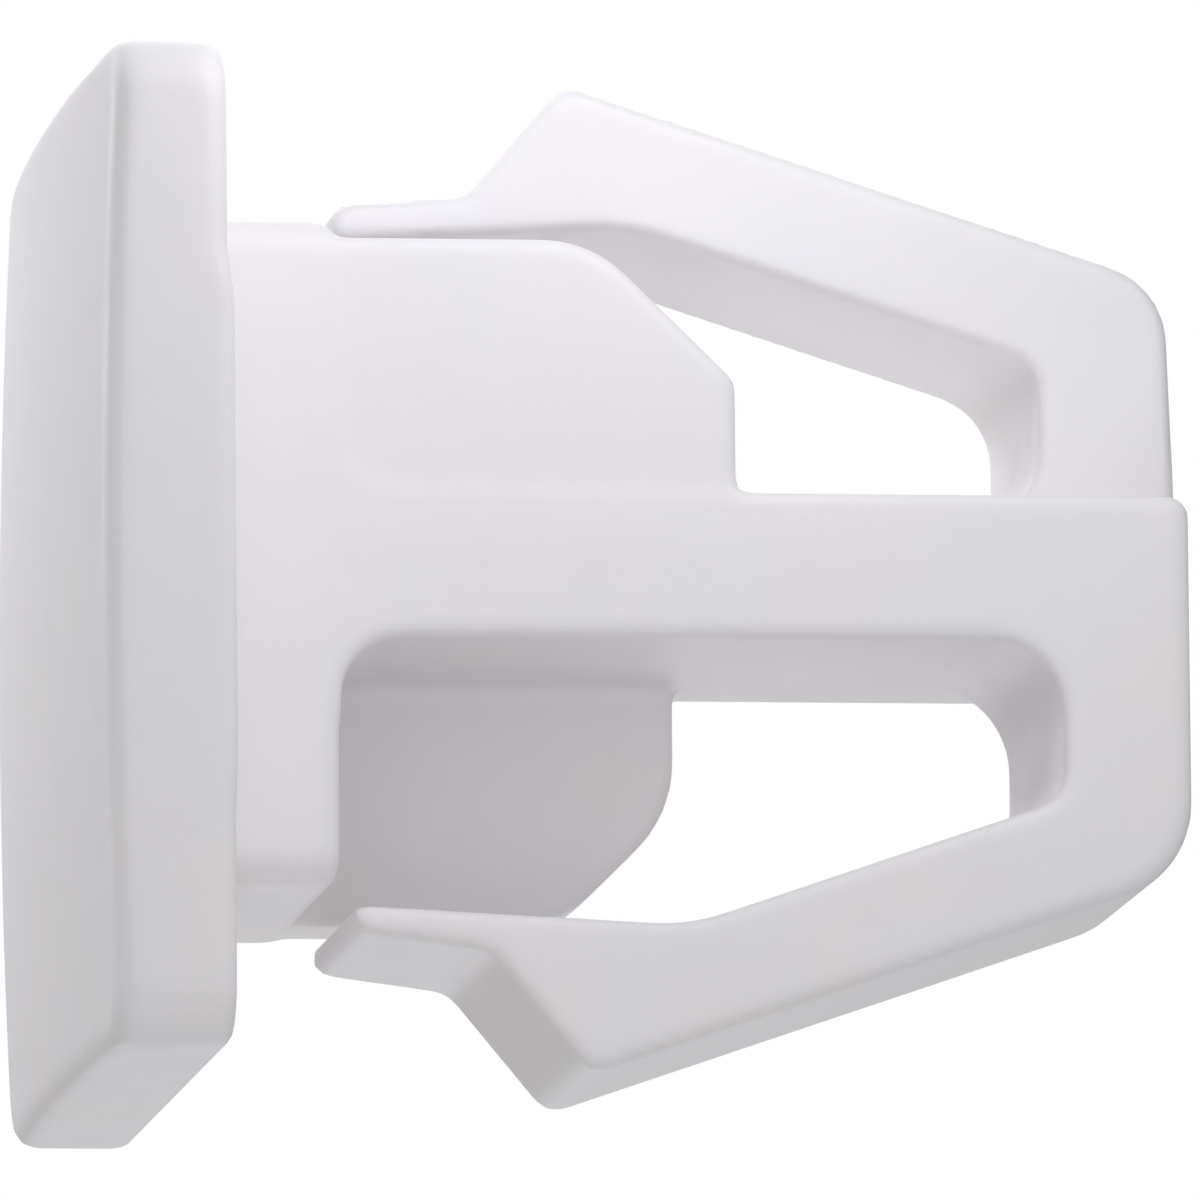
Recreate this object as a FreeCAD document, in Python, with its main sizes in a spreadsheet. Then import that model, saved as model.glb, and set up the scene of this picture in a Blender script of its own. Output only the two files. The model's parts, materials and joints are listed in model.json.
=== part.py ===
import FreeCAD, Part
import math
import os
import re
import Sketcher

# Snap-in wall anchor, moulded in one piece of natural nylon.
# Frame: the origin is the middle of the head's seating face, on the anchor's axis.
# +X runs along the axis from the head to the nose, +Z is up across the web, +Y is away from the near side.
# The core behind the head is a Z in cross-section: a level web with one wall standing up at its near
# edge and one hanging down at its far edge. Turned half round about X, the anchor looks the same, so
# the near leg (below the web) and the far leg (above it) come from the same functions.

doc = FreeCAD.newDocument("WallAnchor")

# ---------------------------------------------------------------- driving sizes, mm and degrees
sizes = {
    # head: a square plate, lightly crowned outside
    "head_side": 16.0,
    "head_thick": 1.95,
    "head_crown": 0.2,
    "head_corner": 1.0,
    "head_edge": 0.4,
    "land_width": 8.0,
    "corner_relief": 0.12,
    # neck: the block that fills the hole in the wall plate
    "neck_height": 10.7,
    "neck_depth": 8.3,
    "neck_corner": 0.6,
    "neck_length": 2.08,
    "neck_root": 0.6,
    # core behind the neck
    "core_height": 10.5,
    "core_depth": 8.2,
    "web_thick": 2.36,
    "wall_thick": 1.9,
    "wall_recess": 0.12,
    "wall_end": 8.4,
    "wall_bend": 1.7,
    "wall_fall_start": 5.4,
    "wall_slope": 43.0,
    "wall_nib": 0.15,
    # nose: the bar end and the two short arms that carry the legs
    "nose_tip": 15.8,
    "nose_thick": 2.05,
    "window_round": 1.2,
    # spring legs
    "hinge_height": 3.98,
    "knuckle_round": 1.3,
    "leg_thick": 1.97,
    "leg_splay": 18.3,
    "beam_length": 6.9,
    "barb_reach": 9.35,
    "barb_foot_x": 4.45,
    "barb_round": 0.4,
    "tongue_height": 5.5,
    "tongue_thick": 0.75,
    "tongue_taper": 0.15,
    "tongue_round": 0.22,
    # clearances
    "tongue_gap": 0.27,
    "hinge_gap": 0.15,
    "side_gap": 0.2,
}

sheet = doc.addObject("Spreadsheet::Sheet", "Sizes")
for row, (alias, value) in enumerate(sizes.items(), start=1):
    sheet.set(f"A{row}", alias)
    sheet.set(f"B{row}", str(value))
    sheet.setAlias(f"B{row}", alias)
doc.recompute()


def cell(words):
    """Put the sheet's name before each alias in an expression."""
    return re.sub(r"[a-z_]+", lambda w: f"Sizes.{w[0]}" if w[0] in sizes else w[0], words)


# places that follow from the sizes; each is an expression, so the model stays bound to the sheet
window_end = "(nose_tip - nose_thick)"
web_face = "(web_thick / 2)"
core_top = "(core_height / 2)"
core_side = "(core_depth / 2)"
wall_outside = f"({core_side} - wall_recess)"
wall_inside = f"({wall_outside} - wall_thick)"
leg_width = f"({core_side} + {wall_inside} - side_gap)"
leg_middle = f"(({core_side} - {wall_inside} + side_gap) / 2)"
hinge_x = "(nose_tip - knuckle_round)"
leg_underside = "((leg_thick - knuckle_round) / cos(leg_splay))"
arm_top = f"(hinge_height - {leg_underside} - hinge_gap)"
socket_radius = "(knuckle_round + hinge_gap)"

# ---------------------------------------------------------------- helpers


def origin_plane(body, role):
    return next(f for f in body.Origin.OriginFeatures if f.Role == role)


def new_body(label):
    body = doc.addObject("PartDesign::Body", label)
    body.Label = label
    return body


def add_sketch(body, name, role):
    sketch = body.newObject("Sketcher::SketchObject", name)
    sketch.AttachmentSupport = [(origin_plane(body, role), "")]
    sketch.MapMode = "FlatFace"
    return sketch


def value_of(words):
    found = sheet.evalExpression(cell(words))
    return float(getattr(found, "Value", found))


def tie(sketch, kind, geometry, point, words):
    """Hold one coordinate of a sketch point at an expression's value."""
    number = sketch.addConstraint(Sketcher.Constraint(kind, -1, 1, geometry, point, value_of(words)))
    sketch.setExpression(f"Constraints[{number}]", cell(words))


def outline(sketch, corners):
    """Draw a closed outline. A corner is (across, up), or (across, up, centre) where the stretch that
    leaves it is an arc, counter-clockwise about that centre. The arc's end is tied one way only: the
    way in which it moves as it slides along the arc."""
    spots = [FreeCAD.Vector(value_of(c[0]), value_of(c[1]), 0) for c in corners]
    ties = [{"DistanceX": c[0], "DistanceY": c[1]} for c in corners]
    for i, corner in enumerate(corners):
        start = spots[i]
        end = spots[(i + 1) % len(corners)]
        if len(corner) == 3:
            middle = FreeCAD.Vector(value_of(corner[2][0]), value_of(corner[2][1]), 0)
            turn = [math.atan2(p.y - middle.y, p.x - middle.x) for p in (start, end)]
            circle = Part.Circle(middle, FreeCAD.Vector(0, 0, 1), (start - middle).Length)
            sketch.addGeometry(Part.ArcOfCircle(circle, turn[0], turn[1]))
            reach = end - middle
            ties[(i + 1) % len(corners)].pop("DistanceX" if abs(reach.x) > abs(reach.y) else "DistanceY")
        else:
            sketch.addGeometry(Part.LineSegment(start, end))
    for i in range(len(corners)):
        sketch.addConstraint(Sketcher.Constraint("Coincident", i, 2, (i + 1) % len(corners), 1))
    for i, corner in enumerate(corners):
        for kind, words in ties[i].items():
            tie(sketch, kind, i, 1, words)
        if len(corner) == 3:
            tie(sketch, "DistanceX", i, 3, corner[2][0])
            tie(sketch, "DistanceY", i, 3, corner[2][1])


def pad_across(body, sketch, width):
    """Thicken a side outline equally both ways across the anchor."""
    pad = body.newObject("PartDesign::Pad", body.Label + "_pad")
    pad.Profile = sketch
    pad.Midplane = True
    pad.setExpression("Length", cell(width))
    doc.recompute()
    return pad


def round_edges(body, feature, radius, wanted):
    """Round the edges of a feature that the test picks out."""
    names = [f"Edge{i}" for i, e in enumerate(feature.Shape.Edges, start=1) if wanted(e)]
    rounding = body.newObject("PartDesign::Fillet", f"{body.Label}_round_{radius}")
    rounding.Base = (feature, names)
    rounding.setExpression("Radius", cell(radius))
    doc.recompute()
    return rounding


def runs_across(edge):
    """True for a straight edge that runs the way Y does."""
    box = edge.BoundBox
    return box.YLength > 10 * max(box.XLength, box.ZLength)


def set_place(body, below, x="0", y="0", z="0"):
    """Place a piece made for the upper side, or turn it half round about X for the lower side."""
    side = "-1 * " if below else ""
    if below:
        body.Placement = FreeCAD.Placement(FreeCAD.Vector(), FreeCAD.Rotation(FreeCAD.Vector(1, 0, 0), 180))
    body.setExpression("Placement.Base.x", cell(x))
    body.setExpression("Placement.Base.y", cell(side + y))
    body.setExpression("Placement.Base.z", cell(side + z))


# ---------------------------------------------------------------- head and neck


def rounded_outline(sketch, width, height, corner):
    """A rectangle with quarter-round corners, centred on the sketch's origin."""
    half_width = f"({width} / 2)"
    half_height = f"({height} / 2)"
    corners = []
    for across, up in ((1, 1), (-1, 1), (-1, -1), (1, -1)):
        middle = (f"{across} * ({half_width} - {corner})", f"{up} * ({half_height} - {corner})")
        flat = (f"{across} * {half_width}", middle[1])
        top = (middle[0], f"{up} * {half_height}")
        first, second = (flat, top) if across == up else (top, flat)
        corners += [(*first, middle), second]
    outline(sketch, corners)


def head_flange():
    """Square head plate: crowned outside, rounded edges, its inner corners relieved behind the seat."""
    body = new_body("head_flange")
    plan = add_sketch(body, "head_plan", "YZ_Plane")
    rounded_outline(plan, "head_side", "head_side", "head_corner")
    plate = body.newObject("PartDesign::Pad", "head_plate")
    plate.Profile = plan
    plate.Reversed = True
    plate.setExpression("Length", cell("head_thick + head_crown"))
    doc.recompute()

    crown_radius = "((head_side / 2) ^ 2 + head_crown ^ 2) / (2 * head_crown)"
    apex = "(-1 * head_thick - head_crown)"
    rim = "head_side"
    rim_x = f"({apex} + {crown_radius} - sqrt(({crown_radius}) ^ 2 - {rim} ^ 2))"
    beyond = f"({apex} - head_thick)"
    arch = add_sketch(body, "crown_side", "XZ_Plane")
    outline(arch, [
        (rim_x, rim, (f"({apex} + {crown_radius})", "0")),
        (apex, "0"),
        (beyond, "0"),
        (beyond, rim),
    ])
    crown = body.newObject("PartDesign::Groove", "head_crown_cut")
    crown.Profile = arch
    crown.ReferenceAxis = (arch, ["H_Axis"])
    crown.Angle = 360
    doc.recompute()

    socket = add_sketch(body, "neck_socket_plan", "YZ_Plane")
    rounded_outline(socket, "neck_depth", "neck_height", "neck_corner")
    recess = body.newObject("PartDesign::Pocket", "neck_socket")
    recess.Profile = socket
    recess.setExpression("Length", cell("neck_root"))
    doc.recompute()

    relief_plan = add_sketch(body, "corner_relief_plan", "YZ_Plane")
    low = "(land_width / 2)"
    outline(relief_plan, [
        (low, low),
        ("head_side", low),
        ("head_side", "head_side"),
        (low, "head_side"),
    ])
    relief = body.newObject("PartDesign::Pocket", "corner_relief")
    relief.Profile = relief_plan
    relief.setExpression("Length", cell("corner_relief"))
    doc.recompute()
    turns = body.newObject("PartDesign::PolarPattern", "corner_reliefs")
    turns.Originals = [relief]
    turns.Axis = (relief_plan, ["N_Axis"])
    turns.Angle = 360
    turns.Occurrences = 4
    body.Tip = turns
    doc.recompute()

    half = sizes["head_side"] / 2
    outer = -sizes["head_thick"] + sizes["head_edge"] / 2

    def outer_rim(edge):
        box = edge.BoundBox
        wide = max(abs(box.YMax), abs(box.YMin), abs(box.ZMax), abs(box.ZMin))
        return box.XMax < outer and wide > half - sizes["head_corner"]

    rim_round = round_edges(body, turns, "head_edge", outer_rim)
    body.Tip = rim_round
    return body


def neck_collar():
    """Block that fills the hole, rounded along its edges; its root is let into the head."""
    body = new_body("neck_collar")
    plan = add_sketch(body, "neck_plan", "YZ_Plane")
    rounded_outline(plan, "neck_depth", "neck_height", "neck_corner")
    block = body.newObject("PartDesign::Pad", "neck_block")
    block.Profile = plan
    block.setExpression("Length", cell("neck_length + neck_root"))
    body.setExpression("Placement.Base.x", cell("-1 * neck_root"))
    return body


# ---------------------------------------------------------------- Z-shaped core


def centre_web():
    """Level bar across the full depth of the core, from the neck to the nose."""
    web = doc.addObject("Part::Box", "centre_web")
    web.setExpression("Length", cell(f"{window_end} - neck_length"))
    web.setExpression("Width", cell("core_depth"))
    web.setExpression("Height", cell("web_thick"))
    web.setExpression("Placement.Base.x", cell("neck_length"))
    web.setExpression("Placement.Base.y", cell(f"-1 * {core_side}"))
    web.setExpression("Placement.Base.z", cell(f"-1 * {web_face}"))
    return web


def core_wall(label, below):
    """Wall on the web's edge. Its free corner falls away in a bend and a straight slope."""
    body = new_body(label)
    side = add_sketch(body, label + "_side", "XZ_Plane")
    bend_x = "(wall_fall_start + wall_bend * sin(wall_slope))"
    bend_z = f"({core_top} - wall_bend * (1 - cos(wall_slope)))"
    slope_end_z = f"({bend_z} - (wall_end - wall_nib - {bend_x}) * tan(wall_slope))"
    outline(side, [
        ("neck_length", web_face),
        ("wall_end", web_face),
        ("wall_end", f"({slope_end_z} - wall_nib)"),
        ("(wall_end - wall_nib)", slope_end_z),
        (bend_x, bend_z, ("wall_fall_start", f"({core_top} - wall_bend)")),
        ("wall_fall_start", core_top),
        ("neck_length", core_top),
    ])
    pad_across(body, side, "wall_thick")
    set_place(body, below, y=f"(wall_thick / 2 - {wall_outside})")
    return body


# ---------------------------------------------------------------- nose


def nose_bar():
    """End of the web, the blunt tip that enters the hole first."""
    bar = doc.addObject("Part::Box", "nose_bar")
    bar.setExpression("Length", cell("nose_thick"))
    bar.setExpression("Width", cell("core_depth"))
    bar.setExpression("Height", cell("web_thick"))
    bar.setExpression("Placement.Base.x", cell(window_end))
    bar.setExpression("Placement.Base.y", cell(f"-1 * {core_side}"))
    bar.setExpression("Placement.Base.z", cell(f"-1 * {web_face}"))
    return bar


def nose_arm(label, below):
    """Short arm on the nose: a round inside corner at the web, and a socket that cradles the leg's knuckle."""
    body = new_body(label)
    side = add_sketch(body, label + "_side", "XZ_Plane")
    corner_middle = (f"({window_end} - window_round)", f"({web_face} + window_round)")
    shoulder_x = f"({hinge_x} - hinge_gap)"
    socket_low_z = f"(hinge_height - sqrt({socket_radius} ^ 2 - hinge_gap ^ 2))"
    lip_z = f"(hinge_height - sqrt({socket_radius} ^ 2 - knuckle_round ^ 2))"
    outline(side, [
        (corner_middle[0], web_face, corner_middle),
        (window_end, corner_middle[1]),
        (window_end, arm_top),
        (shoulder_x, arm_top),
        (shoulder_x, socket_low_z, (hinge_x, "hinge_height")),
        ("nose_tip", lip_z),
        ("nose_tip", web_face),
    ])
    pad_across(body, side, leg_width)
    set_place(body, below, y=leg_middle)
    return body


# ---------------------------------------------------------------- spring legs
# Each leg is drawn from its hinge line, x towards the nose and z outwards.

along = ("(-1 * cos(leg_splay))", "sin(leg_splay)")
outward = ("sin(leg_splay)", "cos(leg_splay)")


def on_beam(reach, offset):
    """Point of a leg at a reach along its beam and an offset outwards from the hinge line."""
    return tuple(f"({reach} * {along[i]} + {offset} * {outward[i]})" for i in (0, 1))


outer_offset = "knuckle_round"
inner_offset = "(knuckle_round - leg_thick)"
beam_out = on_beam("beam_length", outer_offset)
beam_in = on_beam("beam_length", inner_offset)
peak = on_beam("barb_reach", outer_offset)
tongue_low = "(tongue_height - hinge_height)"
barb_low = (f"(barb_foot_x - {hinge_x})", tongue_low)
barb_foot = (barb_low[0], f"({tongue_low} + tongue_thick)")
tongue_tip_x = f"(neck_length + tongue_gap - {hinge_x})"


def leg_piece(label, below, corners):
    """One length of a leg, padded across and placed on the hinge line."""
    body = new_body(label)
    side = add_sketch(body, label + "_side", "XZ_Plane")
    outline(side, corners)
    pad = pad_across(body, side, leg_width)
    set_place(body, below, x=hinge_x, y=leg_middle, z="hinge_height")
    return body, pad


def spring_leg(label, below):
    """Beam of even thickness. Its end is the rounded nose corner, a knuckle turning in the arm's socket."""
    knuckle_low = ("0", "-1 * knuckle_round")
    underside = ("0", f"-1 * {leg_underside}")
    corners = [(*knuckle_low, ("0", "0")), on_beam("0", outer_offset), beam_out, beam_in, underside]
    return leg_piece(label, below, corners)[0]


def barb(label, below):
    """Wedge on the beam's end: a rounded peak and a steep shoulder that grips behind the wall."""
    body, pad = leg_piece(label, below, [beam_in, beam_out, peak, barb_foot, barb_low])
    top = pad.Shape.BoundBox.ZMax
    round_edges(body, pad, "barb_round", lambda e: runs_across(e) and e.CenterOfMass.z > top - 0.001)
    return body


def lock_tongue(label, below):
    """Flat tongue from the shoulder towards the neck; its end stops behind the wall plate."""
    tip_low = (tongue_tip_x, tongue_low)
    tip_top = (tongue_tip_x, f"({tongue_low} + tongue_thick - tongue_taper)")
    body, pad = leg_piece(label, below, [barb_low, barb_foot, tip_top, tip_low])
    middle = pad.Shape.BoundBox.Center.x
    round_edges(body, pad, "tongue_round", lambda e: runs_across(e) and e.CenterOfMass.x < middle)
    return body


# ---------------------------------------------------------------- assembly

pieces = [head_flange(), neck_collar(), centre_web(), nose_bar()]
for side_name, below in (("near", True), ("far", False)):
    pieces.append(core_wall("near_core_wall" if not below else "far_core_wall", below))
    pieces.append(nose_arm(f"{side_name}_nose_arm", below))
    pieces.append(spring_leg(f"{side_name}_spring_leg", below))
    pieces.append(barb(f"{side_name}_barb", below))
    pieces.append(lock_tongue(f"{side_name}_lock_tongue", below))
doc.recompute()

for item in doc.Objects:
    if "Invalid" in item.State or "Error" in item.State:
        raise RuntimeError(f"{item.Label} did not build: {item.State}")
for piece in pieces:
    if piece.Shape.isNull() or not piece.Shape.isValid() or len(piece.Shape.Solids) != 1:
        raise RuntimeError(f"{piece.Label} is not one sound solid")

os.makedirs("parts", exist_ok=True)
for piece in pieces:
    piece.Shape.exportStep(f"parts/{piece.Label}.step")
    box = piece.Shape.BoundBox
    print(f"{piece.Label:18s} {piece.Shape.Volume:8.2f} mm3  x {box.XMin:6.2f} {box.XMax:6.2f}"
          f"  y {box.YMin:6.2f} {box.YMax:6.2f}  z {box.ZMin:6.2f} {box.ZMax:6.2f}")
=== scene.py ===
import json
import math

import bmesh
import bpy
import numpy as np
from mathutils import Matrix, Vector


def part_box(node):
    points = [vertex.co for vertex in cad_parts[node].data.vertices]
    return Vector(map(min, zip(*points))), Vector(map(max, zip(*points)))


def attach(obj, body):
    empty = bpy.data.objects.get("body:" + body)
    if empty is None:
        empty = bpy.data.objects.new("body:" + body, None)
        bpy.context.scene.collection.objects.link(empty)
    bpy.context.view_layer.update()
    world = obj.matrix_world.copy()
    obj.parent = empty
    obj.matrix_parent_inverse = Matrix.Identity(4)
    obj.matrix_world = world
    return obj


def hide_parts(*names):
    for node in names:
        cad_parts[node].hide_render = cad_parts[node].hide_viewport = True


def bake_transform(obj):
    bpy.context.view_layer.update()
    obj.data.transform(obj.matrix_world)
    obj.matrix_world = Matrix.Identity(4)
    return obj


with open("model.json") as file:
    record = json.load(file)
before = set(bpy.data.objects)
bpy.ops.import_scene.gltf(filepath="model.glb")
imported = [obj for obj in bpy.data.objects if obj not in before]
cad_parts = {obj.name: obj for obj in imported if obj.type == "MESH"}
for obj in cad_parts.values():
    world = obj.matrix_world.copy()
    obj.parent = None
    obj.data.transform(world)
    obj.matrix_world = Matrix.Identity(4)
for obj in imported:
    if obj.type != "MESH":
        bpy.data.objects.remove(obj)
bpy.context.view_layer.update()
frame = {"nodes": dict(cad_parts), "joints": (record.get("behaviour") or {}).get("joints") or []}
print("stage: frame loaded")

mm = 0.001
scene = bpy.context.scene


# Lowest and highest corner of a node, in millimetres
def boxMm(node):
    low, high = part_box(node)
    return np.array(low) / mm, np.array(high) / mm


# Outlines are lists of (x, depth, corner radius), with depth counted from the web towards the leg.
# Every corner becomes a tangent arc, drawn in steps of at most arcStep.
arcStep, nearlyStraight = math.radians(7), math.radians(179)


def rounded(corners):
    points = []
    for i, (x, z, radius) in enumerate(corners):
        here = np.array((x, z), float)
        before = np.array(corners[i - 1][:2], float) - here
        after = np.array(corners[(i + 1) % len(corners)][:2], float) - here
        before /= np.linalg.norm(before)
        after /= np.linalg.norm(after)
        inside = math.acos(np.clip(before @ after, -1, 1))
        if radius <= 0 or inside > nearlyStraight:
            points.append(here)
            continue
        middle = before + after
        centre = here + middle / np.linalg.norm(middle) * radius / math.sin(inside / 2)
        reach = radius / math.tan(inside / 2)
        first, last = here + before * reach - centre, here + after * reach - centre
        sweep = math.pi - inside
        steps = max(2, math.ceil(sweep / arcStep))
        sign = np.sign(first[0] * last[1] - first[1] * last[0])
        for k in range(steps + 1):
            a = sign * sweep * k / steps
            c, s = math.cos(a), math.sin(a)
            points.append(centre + (first[0] * c - first[1] * s, first[0] * s + first[1] * c))
    return np.array(points)


tiny = 1e-14  # mm squared, for two points of an outline that fall together


# Signed distance to a closed outline, negative inside
def flatDistance(px, pz, outline):
    best = np.full(np.broadcast(px, pz).shape, np.inf)
    inside = np.zeros(best.shape, bool)
    for (ax, az), (bx, bz) in zip(outline, np.roll(outline, -1, 0)):
        ex, ez = bx - ax, bz - az
        length = ex * ex + ez * ez
        if length < tiny:
            continue
        t = np.clip(((px - ax) * ex + (pz - az) * ez) / length, 0, 1)
        best = np.minimum(best, (px - ax - t * ex) ** 2 + (pz - az - t * ez) ** 2)
        crosses = (az > pz) != (bz > pz)
        if ez:
            inside ^= crosses & (px < (pz - az) * ex / ez + ax)
    return np.where(inside, -1, 1) * np.sqrt(best)


# What two distances have in common, with their edge rounded
def rimmed(a, b, rim):
    a, b = a + rim, b + rim
    return np.minimum(np.maximum(a, b), 0) + np.hypot(np.maximum(a, 0), np.maximum(b, 0)) - rim


# Distance to an outline carried from low to high along an axis, its rims rounded
def across(flat, axis, low, high, edge):
    return rimmed(flat, abs(axis - (low + high) / 2) - (high - low) / 2, edge)


# Union with a soft inside corner
def joined(a, b, soft):
    h = np.maximum(soft - abs(a - b), 0) / soft
    return np.minimum(a, b) - h * h * soft / 4


# The lattice is the same for every piece, so that their seams meet point for point
lattice = {"step": 0.12, "margin": 3}
lowest = np.min([boxMm(n)[0] for n in frame["nodes"]], 0)
highest = np.max([boxMm(n)[1] for n in frame["nodes"]], 0)


# An even number of evenly spaced places that cover low to high with the margin
def ticks(low, high):
    count = math.ceil((high - low) / lattice["step"]) + 2 * lattice["margin"]
    count += count % 2
    return (low + high) / 2 + (np.arange(count) - (count - 1) / 2) * lattice["step"]


reachOut = max(highest[2], -lowest[2])
tx = ticks(lowest[0], highest[0])
ty = ticks(-highest[1], highest[1])
tz = ticks(-reachOut, reachOut)
gx, gy, gz = tx[:, None, None], ty[None, :, None], tz[None, None, :]
sideX, sideZ = tx[:, None], tz[None, :]  # the same places seen from the side


# One light pass of smoothing, which leaves flat faces where they are
def softened(field):
    for axis in range(3):
        up, down = np.roll(field, 1, axis), np.roll(field, -1, axis)
        field = (up + 2 * field + down) / 4
    return field


# Points and four-sided faces on the field's zero surface, faces outward
def netOver(field):
    inside = field < 0
    cells = tuple(n - 1 for n in field.shape)
    total = np.zeros(cells + (3,))
    count = np.zeros(cells)
    crossings = []
    for axis in range(3):
        here = [slice(None)] * 3
        there = [slice(None)] * 3
        here[axis], there[axis] = slice(None, -1), slice(1, None)
        a, b = field[tuple(here)], field[tuple(there)]
        changes = inside[tuple(here)] != inside[tuple(there)]
        i, j, k = np.nonzero(changes)
        va, vb = a[i, j, k], b[i, j, k]
        point = np.stack([tx[i], ty[j], tz[k]], 1)
        point[:, axis] += va / (va - vb) * lattice["step"]
        crossings.append((axis, i, j, k, inside[tuple(here)][i, j, k]))
        others = [o for o in range(3) if o != axis]
        for da in (0, -1):
            for db in (0, -1):
                cell = [i.copy(), j.copy(), k.copy()]
                cell[others[0]] += da
                cell[others[1]] += db
                np.add.at(total, tuple(cell), point)
                np.add.at(count, tuple(cell), 1)
    active = count > 0
    number = np.full(cells, -1)
    number[active] = np.arange(active.sum())
    points = total[active] / count[active][:, None]
    faces = []
    for axis, i, j, k, starts in crossings:
        o1, o2 = (axis + 1) % 3, (axis + 2) % 3
        ring = []
        for d1, d2 in ((0, 0), (-1, 0), (-1, -1), (0, -1)):
            cell = [i.copy(), j.copy(), k.copy()]
            cell[o1] += d1
            cell[o2] += d2
            ring.append(number[tuple(cell)])
        quad = np.stack(ring, 1)
        quad[~starts] = quad[~starts][:, ::-1]
        faces.append(quad)
    return points, np.concatenate(faces)


# Mesh of the kept faces, with each open ring closed by a fan round its middle
def meshFrom(name, points, faces, keep):
    centres = points[faces].mean(1)
    faces = faces[keep(centres)]
    used = np.unique(faces)
    renumber = np.full(len(points), -1)
    renumber[used] = np.arange(len(used))
    mesh = bpy.data.meshes.new(name)
    mesh.from_pydata((points[used] * mm).tolist(), [], renumber[faces].tolist())
    bm = bmesh.new()
    bm.from_mesh(mesh)
    for f in bm.faces:
        f.smooth = True
    rings = {e for e in bm.edges if e.is_boundary}
    while rings:
        ring, front = set(), [min(rings, key=lambda e: e.index)]
        while front:
            edge = front.pop()
            ring.add(edge)
            rings.discard(edge)
            front += [e for v in edge.verts for e in v.link_edges if e in rings]
        ring = sorted(ring, key=lambda e: e.index)
        ends = [v.co for e in ring for v in e.verts]
        middle = bm.verts.new(sum(ends, Vector()) / len(ends))
        for e in ring:
            e.smooth = False
            bm.faces.new((*e.verts, middle))
    bmesh.ops.recalc_face_normals(bm, faces=bm.faces)
    bm.to_mesh(mesh)
    bm.free()
    return mesh


headLow, headHigh = boxMm("head_flange")
neckLow, neckHigh = boxMm("neck_collar")
webLow, webHigh = boxMm("centre_web")
barLow, barHigh = boxMm("nose_bar")
wallLow, wallHigh = boxMm("near_core_wall")
legLow, legHigh = boxMm("near_spring_leg")
barbLow = boxMm("near_barb")[0]
tongueLow, tongueHigh = boxMm("near_lock_tongue")
nearFlex = next(j for j in frame["joints"] if j["name"] == "near_leg_flex")
hinge = np.array(nearFlex["pos_m"]) / mm

# What differs between the two legs, in millimetres and degrees. Pairs are for a leg's front and
# back side, windowRound is its arm's corner at the web, and its skin starts at the seam.
hooks = {
    "near": {"splay": 18.75, "thick": 1.79, "innerRound": (0.62, 0.7), "windowRound": (1.15, 1.42),
             "draft": 0.08, "lean": 0, "tongueTaper": 0.3, "noseRound": 1.6, "seam": 2.87},
    "far": {"splay": 17.95, "thick": 1.9, "innerRound": (1.2, 0.62), "windowRound": (1.1, 1.0),
            "draft": 0, "lean": 0.2, "tongueTaper": 0.15, "noseRound": 1.3, "seam": 2.48},
}
# What both legs share
hook = {
    "knuckle": 1.3, "barbReach": 9.35, "peakRound": 0.42, "footRound": 0.5, "tipRound": 0.34,
    "tipTop": 0.16, "shoulderEase": 3.0, "edge": 0.13, "tongueThick": 0.75,
    "tongueRise": 0.052, "tipAhead": 0.1, "overlap": 0.6,
}
# Web, nose and arms
core = {
    "neckFillet": 1.05, "barRound": 0.3, "edge": 0.13, "soft": 0.12, "neckInside": 0.5,
    "neckCover": 2.5, "armRoom": 1.5, "slabShort": 1.0,
}
hingeX, hingeDepth = hinge[0], -hinge[2]
webFace = webHigh[2]
noseTip = barHigh[0]
tongueInner = -tongueHigh[2]
tipX = tongueLow[0] - hook["tipAhead"]


# Neck's edge, web, nose and leg in one outline, on the leg's front (0) or back (1) side
def legOutline(side, back):
    own = hooks[side]
    slope = math.radians(own["splay"])
    s, c = math.sin(slope), math.cos(slope)
    inner = hook["knuckle"] - own["thick"]
    rise = hook["tongueRise"]
    face = barLow[0] - back * own["draft"]

    def onBeam(reach, offset):
        return hingeX - reach * c + offset * s, hingeDepth + reach * s + offset * c

    tongueAtHinge = tongueInner + rise * (hingeX + inner * s - tipX)
    beamEnd = (tongueAtHinge - hingeDepth - inner * c) / (s + rise * c)
    tongueOuter = tongueInner + hook["tongueThick"]
    return rounded([
        (core["neckInside"], -core["neckCover"], 0),
        (neckHigh[0], -core["neckCover"], 0),
        (neckHigh[0], -webFace, core["neckFillet"]),
        (noseTip + own["lean"], -webFace, core["barRound"]),
        (*onBeam((hingeX + hook["knuckle"] * s - noseTip) / c, hook["knuckle"]), own["noseRound"]),
        (*onBeam(hook["barbReach"], hook["knuckle"]), hook["peakRound"]),
        (barbLow[0], tongueOuter, hook["footRound"]),
        (tipX, tongueOuter - own["tongueTaper"], hook["tipRound"]),
        (tipX, tongueInner, hook["tipTop"]),
        (*onBeam(beamEnd, inner), hook["shoulderEase"]),
        (*onBeam((hingeX + inner * s - face) / c, inner), own["innerRound"][back]),
        (face, webFace, own["windowRound"][back]),
        (neckHigh[0], webFace, core["neckFillet"]),
        (neckHigh[0], core["neckCover"], 0),
        (core["neckInside"], core["neckCover"], 0),
    ])


slabOutline = rounded([
    (core["neckInside"], -core["neckCover"], 0),
    (neckHigh[0], -core["neckCover"], 0),
    (neckHigh[0], -webFace, core["neckFillet"]),
    (noseTip - core["slabShort"], -webFace, 0),
    (noseTip - core["slabShort"], webFace, 0),
    (neckHigh[0], webFace, core["neckFillet"]),
    (neckHigh[0], core["neckCover"], 0),
    (core["neckInside"], core["neckCover"], 0),
])

# 0 at a leg's front side, 1 at its back side
share = np.clip((gy - legLow[1]) / (legHigh[1] - legLow[1]), 0, 1)


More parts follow.
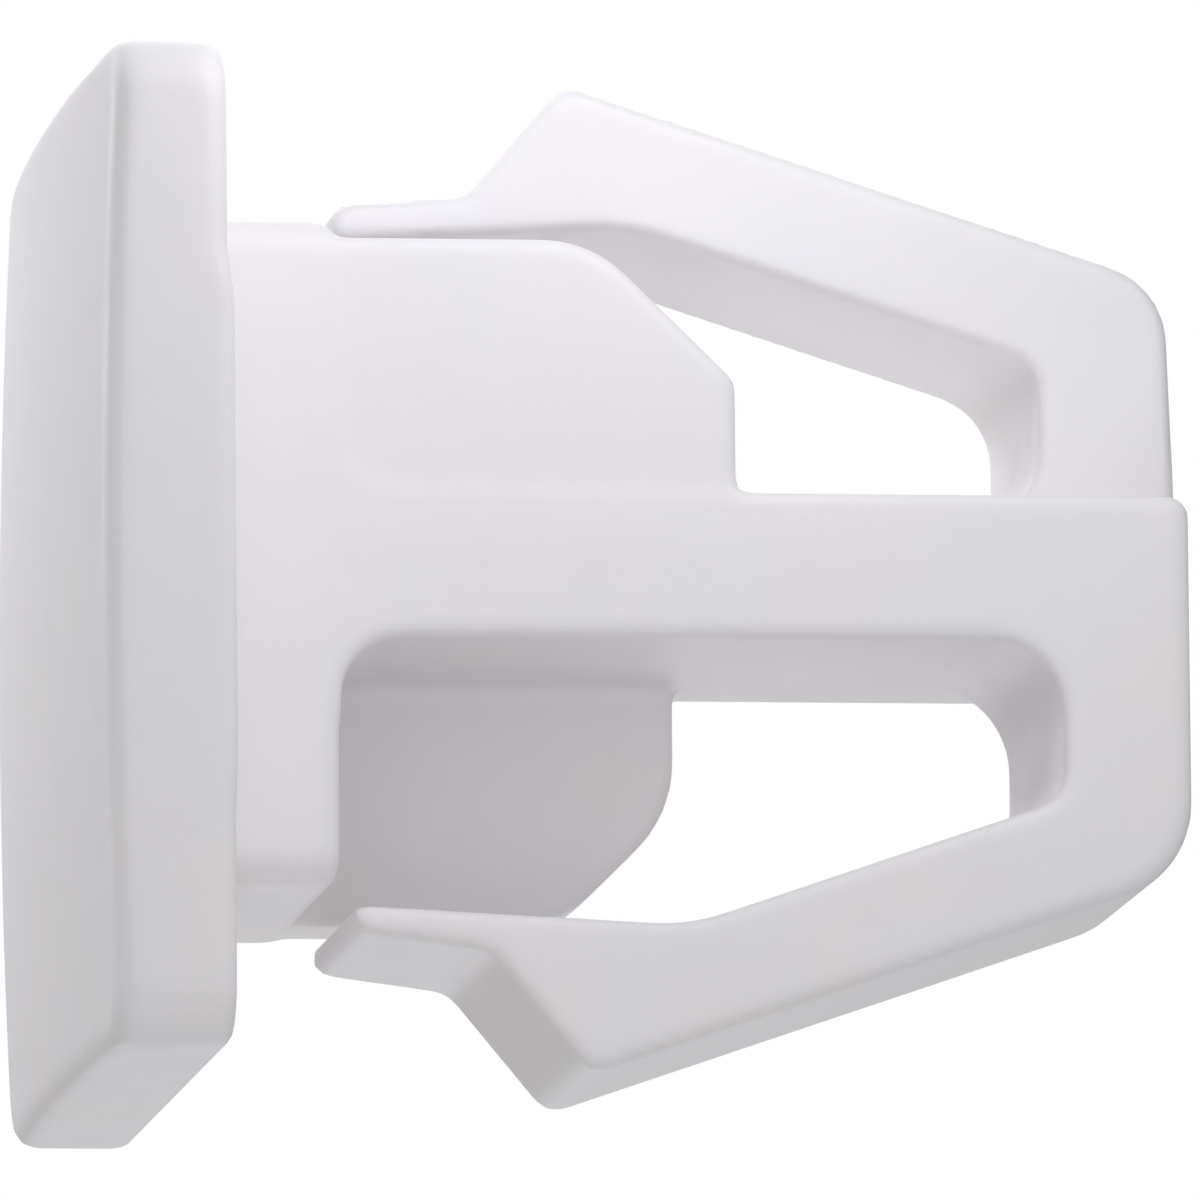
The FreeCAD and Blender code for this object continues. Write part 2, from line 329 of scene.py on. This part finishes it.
# Distance to one side's whole outline, which changes evenly from its front to its back side
def sideField(side):
    front, back = (flatDistance(sideX, -sideZ, legOutline(side, k))[:, None, :] for k in (0, 1))
    flat = front * (1 - share) + back * share
    return across(flat, gy, legLow[1], legHigh[1], hook["edge"])


sides = {side: sideField(side) for side in hooks}


# The leg with the end of its arm, below the seam
def hookMesh(side):
    seam = hooks[side]["seam"]
    field = np.maximum(sides[side], gz + seam - hook["overlap"])
    points, faces = netOver(softened(field))
    return meshFrom("hook", points, faces, lambda c: c[:, 2] < -seam)


hookMeshes = {side: hookMesh(side) for side in hooks}
print("stage: hooks", len(hookMeshes["near"].polygons))

# The two walls. Pairs are for the near and the far one.
wall = {"bend": 1.9, "fallStart": 5.41, "fall": 44.5, "rounds": (0.25, 2.0), "edge": 0.15,
        "endShift": (0.1, -0.14), "lowered": (0, 0.13), "proud": 0.07}
topZ, endX = wallHigh[2], wallHigh[0]
fall = math.radians(wall["fall"])
bendMiddle = wall["bend"] * math.tan(fall / 2)
slopeTop = wall["fallStart"] + bendMiddle


# The near wall (0), or the far one (1) drawn in the near one's place
def wallField(far):
    end = endX + wall["endShift"][far]
    top = topZ - wall["lowered"][far]
    cornerX = slopeTop + wall["lowered"][far] / math.tan(fall)
    outline = rounded([
        (core["neckInside"], 0, 0),
        (end, 0, 0),
        (end, topZ - (end - slopeTop) * math.tan(fall), wall["rounds"][far]),
        (cornerX, top, wall["bend"]),
        (core["neckInside"], top, 0),
    ])
    flat = flatDistance(sideX, sideZ, outline)[:, None, :]
    return across(flat, gy, wallLow[1] - wall["proud"], wallHigh[1], wall["edge"])


# The field turned half round about the axis
def turned(field):
    return field[:, ::-1, ::-1]


nearWall, farWall = wallField(0), turned(wallField(1))
flatSlab = flatDistance(sideX, sideZ, slabOutline)[:, None, :]
slab = across(flatSlab, gy, webLow[1], webHigh[1], core["edge"])
noses = {side: np.maximum(sides[side], -gz - hooks[side]["seam"] - hook["overlap"])
         for side in hooks}

neck = {"corner": 0.6, "rim": 0.35, "root": 0.45, "raised": 0.17, "taller": 0.04, "inside": 0.5}
# The crown bulges the outer face, and past the land the inner face steps back by a relief.
# Pairs are for above and below the land.
head = {"side": 8.0, "corner": 1.0, "crown": 0.42, "plate": 0.22, "rim": 0.36, "taller": 0.05,
        "lowered": 0.15, "crownLowered": 1.0, "landRim": 0.14, "innerRims": (0.4, 0.3),
        "land": 4.1, "reliefs": (0.09, 0.03), "landEase": 0.8}


def roundedBox(a, b, halfA, halfB, corner):
    return rimmed(abs(a) - halfA, abs(b) - halfB, corner)


block = roundedBox(gy, gz - neck["raised"], neckHigh[1], neckHigh[2] + neck["taller"],
                   neck["corner"])
neckField = across(block, gx, neckLow[0] - neck["inside"], neckHigh[0], neck["rim"])
square = roundedBox(gy, gz + head["lowered"], head["side"], head["side"] + head["taller"],
                    head["corner"])
offCentre = gy ** 2 + (gz + head["crownLowered"]) ** 2
crown = head["crown"] * (1 - offCentre / (2 * head["side"] ** 2))
past = np.clip((abs(gz) - head["land"]) / head["landEase"] + 0.5, 0, 1)
relief = np.where(gz > 0, *head["reliefs"]) * past
innerRim = head["landRim"] * (1 - past) + np.where(gz > 0, *head["innerRims"]) * past
outerGap = headLow[0] + head["plate"] - crown - gx
innerGap = gx - headHigh[0] + relief
headField = np.maximum(rimmed(square, outerGap, head["rim"]), rimmed(square, innerGap, innerRim))

body = joined(headField, neckField, neck["root"])
web = joined(joined(slab, nearWall, core["soft"]), farWall, core["soft"])
body = joined(body, web, core["soft"])
bodyField = np.minimum(body, np.minimum(noses["near"], turned(noses["far"])))
corePoints, coreFaces = netOver(softened(bodyField))
coreMesh = meshFrom("core", corePoints, coreFaces,
                    lambda c: (c[:, 0] < barLow[0] - core["armRoom"])
                    | ((c[:, 2] > -hooks["near"]["seam"]) & (c[:, 2] < hooks["far"]["seam"])))
print("stage: core", len(coreMesh.polygons))

# Natural nylon. Scales are per metre, ranges are (from, from, to, to), and bumps are (scale,
# detail, strength, depth in metres), the fine grain before the soft wave.
nylonLook = {
    "cool": (0.944, 0.934, 0.955, 1), "warm": (0.952, 0.935, 0.93, 1), "clouds": (260, 3),
    "cloudRange": (0.35, 0.65, 0, 1),
    "milk": (0.86, 0.85, 0.85, 1), "milkNoise": (900, 4), "milkRange": (0.3, 0.7, 0, 0.12),
    "speck": (0.45, 0.43, 0.41, 1), "speckScale": 700, "speckSize": (0.03, 0.07, 0.35, 0),
    "speckShare": (0.93, 0.95, 0, 1),
    "gloss": (1500, 3), "glossRange": (0.3, 0.7, 0.38, 0.5), "ior": 1.5, "specular": 0.4,
    "bumps": ((5000, 2, 0.25, 0.00002), (420, 2, 0.35, 0.00006)),
}


def nylonMaterial(look):
    material = bpy.data.materials.new("nylon")
    material.use_nodes = True
    nodes, links = material.node_tree.nodes, material.node_tree.links
    nodes.clear()
    output = nodes.new("ShaderNodeOutputMaterial")
    shader = nodes.new("ShaderNodeBsdfPrincipled")
    links.new(shader.outputs[0], output.inputs[0])
    place = nodes.new("ShaderNodeTexCoord").outputs["Object"]

    def noise(scale, detail):
        node = nodes.new("ShaderNodeTexNoise")
        node.inputs["Scale"].default_value = scale
        node.inputs["Detail"].default_value = detail
        links.new(place, node.inputs["Vector"])
        return node.outputs["Fac"]

    def ranged(source, span):
        node = nodes.new("ShaderNodeMapRange")
        for key, value in zip(("From Min", "From Max", "To Min", "To Max"), span):
            node.inputs[key].default_value = value
        links.new(source, node.inputs["Value"])
        return node.outputs["Result"]

    def mixed(factor, first, second):
        node = nodes.new("ShaderNodeMix")
        node.data_type = "RGBA"
        links.new(factor, node.inputs[0])
        for socket, value in ((node.inputs[6], first), (node.inputs[7], second)):
            if isinstance(value, tuple):
                socket.default_value = value
            else:
                links.new(value, socket)
        return node.outputs[2]

    cloudy = mixed(ranged(noise(*look["clouds"]), look["cloudRange"]), look["cool"], look["warm"])
    milky = mixed(ranged(noise(*look["milkNoise"]), look["milkRange"]), cloudy, look["milk"])
    specks = nodes.new("ShaderNodeTexVoronoi")
    specks.inputs["Scale"].default_value = look["speckScale"]
    links.new(place, specks.inputs["Vector"])
    rareSpecks = nodes.new("ShaderNodeMath")
    rareSpecks.operation = "MULTIPLY"
    links.new(ranged(specks.outputs["Distance"], look["speckSize"]), rareSpecks.inputs[0])
    links.new(ranged(specks.outputs["Color"], look["speckShare"]), rareSpecks.inputs[1])
    links.new(mixed(rareSpecks.outputs[0], milky, look["speck"]), shader.inputs["Base Color"])
    links.new(ranged(noise(*look["gloss"]), look["glossRange"]), shader.inputs["Roughness"])
    shader.inputs["IOR"].default_value = look["ior"]
    shader.inputs["Specular IOR Level"].default_value = look["specular"]
    below = None
    for scale, detail, strength, depth in look["bumps"]:
        bump = nodes.new("ShaderNodeBump")
        bump.inputs["Strength"].default_value = strength
        bump.inputs["Distance"].default_value = depth
        links.new(noise(scale, detail), bump.inputs["Height"])
        if below:
            links.new(below, bump.inputs["Normal"])
        below = bump.outputs[0]
    links.new(below, shader.inputs["Normal"])
    return material


nylon = nylonMaterial(nylonLook)


# Turns a hook about the part's axis to its side and paints it
def hookTree():
    tree = bpy.data.node_groups.new("turnedHook", "GeometryNodeTree")
    face = tree.interface
    face.new_socket("Geometry", in_out="INPUT", socket_type="NodeSocketGeometry")
    turn = face.new_socket("Turn", in_out="INPUT", socket_type="NodeSocketFloat")
    paint = face.new_socket("Material", in_out="INPUT", socket_type="NodeSocketMaterial")
    face.new_socket("Geometry", in_out="OUTPUT", socket_type="NodeSocketGeometry")
    nodes, links = tree.nodes, tree.links
    start, end = nodes.new("NodeGroupInput"), nodes.new("NodeGroupOutput")
    angles = nodes.new("ShaderNodeCombineXYZ")
    links.new(start.outputs["Turn"], angles.inputs["X"])
    instance = nodes.new("GeometryNodeGeometryToInstance")
    links.new(start.outputs["Geometry"], instance.inputs["Geometry"])
    rotate = nodes.new("GeometryNodeRotateInstances")
    links.new(instance.outputs[0], rotate.inputs["Instances"])
    links.new(angles.outputs[0], rotate.inputs["Rotation"])
    rotate.inputs["Local Space"].default_value = False
    real = nodes.new("GeometryNodeRealizeInstances")
    links.new(rotate.outputs[0], real.inputs["Geometry"])
    paintNode = nodes.new("GeometryNodeSetMaterial")
    links.new(real.outputs[0], paintNode.inputs["Geometry"])
    links.new(start.outputs["Material"], paintNode.inputs["Material"])
    links.new(paintNode.outputs[0], end.inputs[0])
    return tree, turn.identifier, paint.identifier


tree, turnId, paintId = hookTree()


def addPiece(name, mesh):
    piece = bpy.data.objects.new(name, mesh)
    scene.collection.objects.link(piece)
    return piece


# A hook as a plain mesh, once the tree has turned it
def hookPiece(name, mesh, turn):
    piece = addPiece(name, mesh)
    modifier = piece.modifiers.new("turn", "NODES")
    modifier.node_group = tree
    modifier[turnId] = turn
    modifier[paintId] = nylon
    bpy.context.view_layer.update()
    seen = piece.evaluated_get(bpy.context.evaluated_depsgraph_get())
    final = bpy.data.meshes.new_from_object(seen)
    piece.modifiers.remove(modifier)
    piece.data = final
    return piece


for side, turn in (("near", 0), ("far", math.pi)):
    piece = hookPiece(side + "Hook", hookMeshes[side], turn)
    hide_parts(side + "_spring_leg", side + "_barb", side + "_lock_tongue")
    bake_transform(piece)

anchorBody = addPiece("anchorBody", coreMesh)
coreMesh.materials.append(nylon)
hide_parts("head_flange", "neck_collar", "centre_web", "near_core_wall",
            "far_core_wall", "nose_bar", "near_nose_arm", "far_nose_arm")
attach(anchorBody, "core")
print("stage: pieces")

floor = {"size": 3.0, "drop": 0.09, "colour": (0.86, 0.86, 0.86, 1), "roughness": 0.8, "glow": 0.5}
bpy.ops.mesh.primitive_plane_add(size=floor["size"], location=(0, 0, -floor["drop"]))
ground = bpy.context.object
ground.name = "floor"
paper = bpy.data.materials.new("paper")
paper.use_nodes = True
paperNodes, paperLinks = paper.node_tree.nodes, paper.node_tree.links
paperShader = paperNodes["Principled BSDF"]
paperShader.inputs["Base Color"].default_value = floor["colour"]
paperShader.inputs["Roughness"].default_value = floor["roughness"]
paperShader.inputs["Emission Color"].default_value = (1, 1, 1, 1)
# For the camera's rays alone, the floor glows from above and is clear from below
cameraRay = paperNodes.new("ShaderNodeLightPath").outputs["Is Camera Ray"]
glow, clear = paperNodes.new("ShaderNodeMath"), paperNodes.new("ShaderNodeMath")
glow.operation = clear.operation = "MULTIPLY"
paperLinks.new(cameraRay, glow.inputs[0])
glow.inputs[1].default_value = floor["glow"]
paperLinks.new(glow.outputs[0], paperShader.inputs["Emission Strength"])
paperLinks.new(cameraRay, clear.inputs[0])
paperLinks.new(paperNodes.new("ShaderNodeNewGeometry").outputs["Backfacing"], clear.inputs[1])
paperSides = paperNodes.new("ShaderNodeMixShader")
paperLinks.new(clear.outputs[0], paperSides.inputs[0])
paperLinks.new(paperShader.outputs[0], paperSides.inputs[1])
paperLinks.new(paperNodes.new("ShaderNodeBsdfTransparent").outputs[0], paperSides.inputs[2])
paperLinks.new(paperSides.outputs[0], paperNodes["Material Output"].inputs["Surface"])
ground.data.materials.append(paper)

# Round lamps, none of them seen: place and width in millimetres, share of the power in watts
lights = {
    "leftBack": ((-50, 25, 30), 50, 0.88),
    "close": ((8, -14, 16), 12, 0.057),
    "closeRight": ((20, -20, 20), 20, 0.032),
    "front": ((6, -70, 0), 60, 0.3),
    "frontBelow": ((6, -60, -35), 40, 0.18),
    "back": ((20, 60, 20), 60, 0.48),
    "backTop": ((0, 50, 50), 60, 0.56),
    "backLow": ((10, 50, -40), 60, 0.33),
}
lamps = {"power": 0.02, "colour": (0.96, 0.96, 1.03), "target": (0.006, 0, 0)}
for name, (place, size, part) in lights.items():
    data = bpy.data.lights.new(name, "AREA")
    data.shape = "DISK"
    data.size = size * mm
    data.energy = part * lamps["power"]
    data.color = lamps["colour"]
    lamp = bpy.data.objects.new(name, data)
    lamp.location = Vector(place) * mm
    lamp.rotation_mode = "QUATERNION"
    lamp.rotation_quaternion = (Vector(lamps["target"]) - lamp.location).to_track_quat("-Z", "Y")
    lamp.visible_camera = False
    scene.collection.objects.link(lamp)

# Strength and tint of the world, for what sees it directly and as light on the part
studio = {"seen": (1.0, (1, 1, 1)), "lit": (0.392, (1.0, 0.985, 0.965))}
world = bpy.data.worlds.new("studio")
scene.world = world
world.use_nodes = True
worldNodes, worldLinks = world.node_tree.nodes, world.node_tree.links
worldNodes.clear()
grounds = {}
for key, (strength, tint) in studio.items():
    grounds[key] = worldNodes.new("ShaderNodeBackground")
    grounds[key].inputs["Color"].default_value = (*tint, 1)
    grounds[key].inputs["Strength"].default_value = strength
path = worldNodes.new("ShaderNodeLightPath")
ray = worldNodes.new("ShaderNodeMath")
ray.operation = "MAXIMUM"
worldLinks.new(path.outputs["Is Camera Ray"], ray.inputs[0])
worldLinks.new(path.outputs["Is Transmission Ray"], ray.inputs[1])
chosen = worldNodes.new("ShaderNodeMixShader")
worldLinks.new(ray.outputs[0], chosen.inputs[0])
worldLinks.new(grounds["lit"].outputs[0], chosen.inputs[1])
worldLinks.new(grounds["seen"].outputs[0], chosen.inputs[2])
worldLinks.new(chosen.outputs[0], worldNodes.new("ShaderNodeOutputWorld").inputs[0])

scene.view_settings.view_transform = "Standard"

# Degrees and millimetres; the focal length is for a picture this many points wide
view = {"yaw": 7.5, "pitch": 7.7, "roll": -0.55, "focal": 23301.8, "distance": 375.97,
        "aim": (6.79, 0.0, -0.04), "picture": 1200, "sensor": 36.0, "clip": (0.01, 20)}
yaw, pitch, roll = (math.radians(view[k]) for k in ("yaw", "pitch", "roll"))
level = Vector((math.sin(yaw), math.cos(yaw), 0))
forward = level * math.cos(pitch) + Vector((0, 0, math.sin(pitch)))
flatRight = Vector((math.cos(yaw), -math.sin(yaw), 0))
flatUp = flatRight.cross(forward)
right = math.cos(roll) * flatRight + math.sin(roll) * flatUp
up = -math.sin(roll) * flatRight + math.cos(roll) * flatUp
camera = bpy.data.objects.new("camera", bpy.data.cameras.new("camera"))
scene.collection.objects.link(camera)
camera.data.sensor_width = view["sensor"]
camera.data.lens = view["focal"] / view["picture"] * view["sensor"]
camera.data.clip_start, camera.data.clip_end = view["clip"]
place = (Vector(view["aim"]) - forward * view["distance"]) * mm
facing = Matrix((right, up, -forward)).transposed().to_4x4()
camera.matrix_world = Matrix.Translation(place) @ facing
scene.camera = camera
print("stage: camera and light")
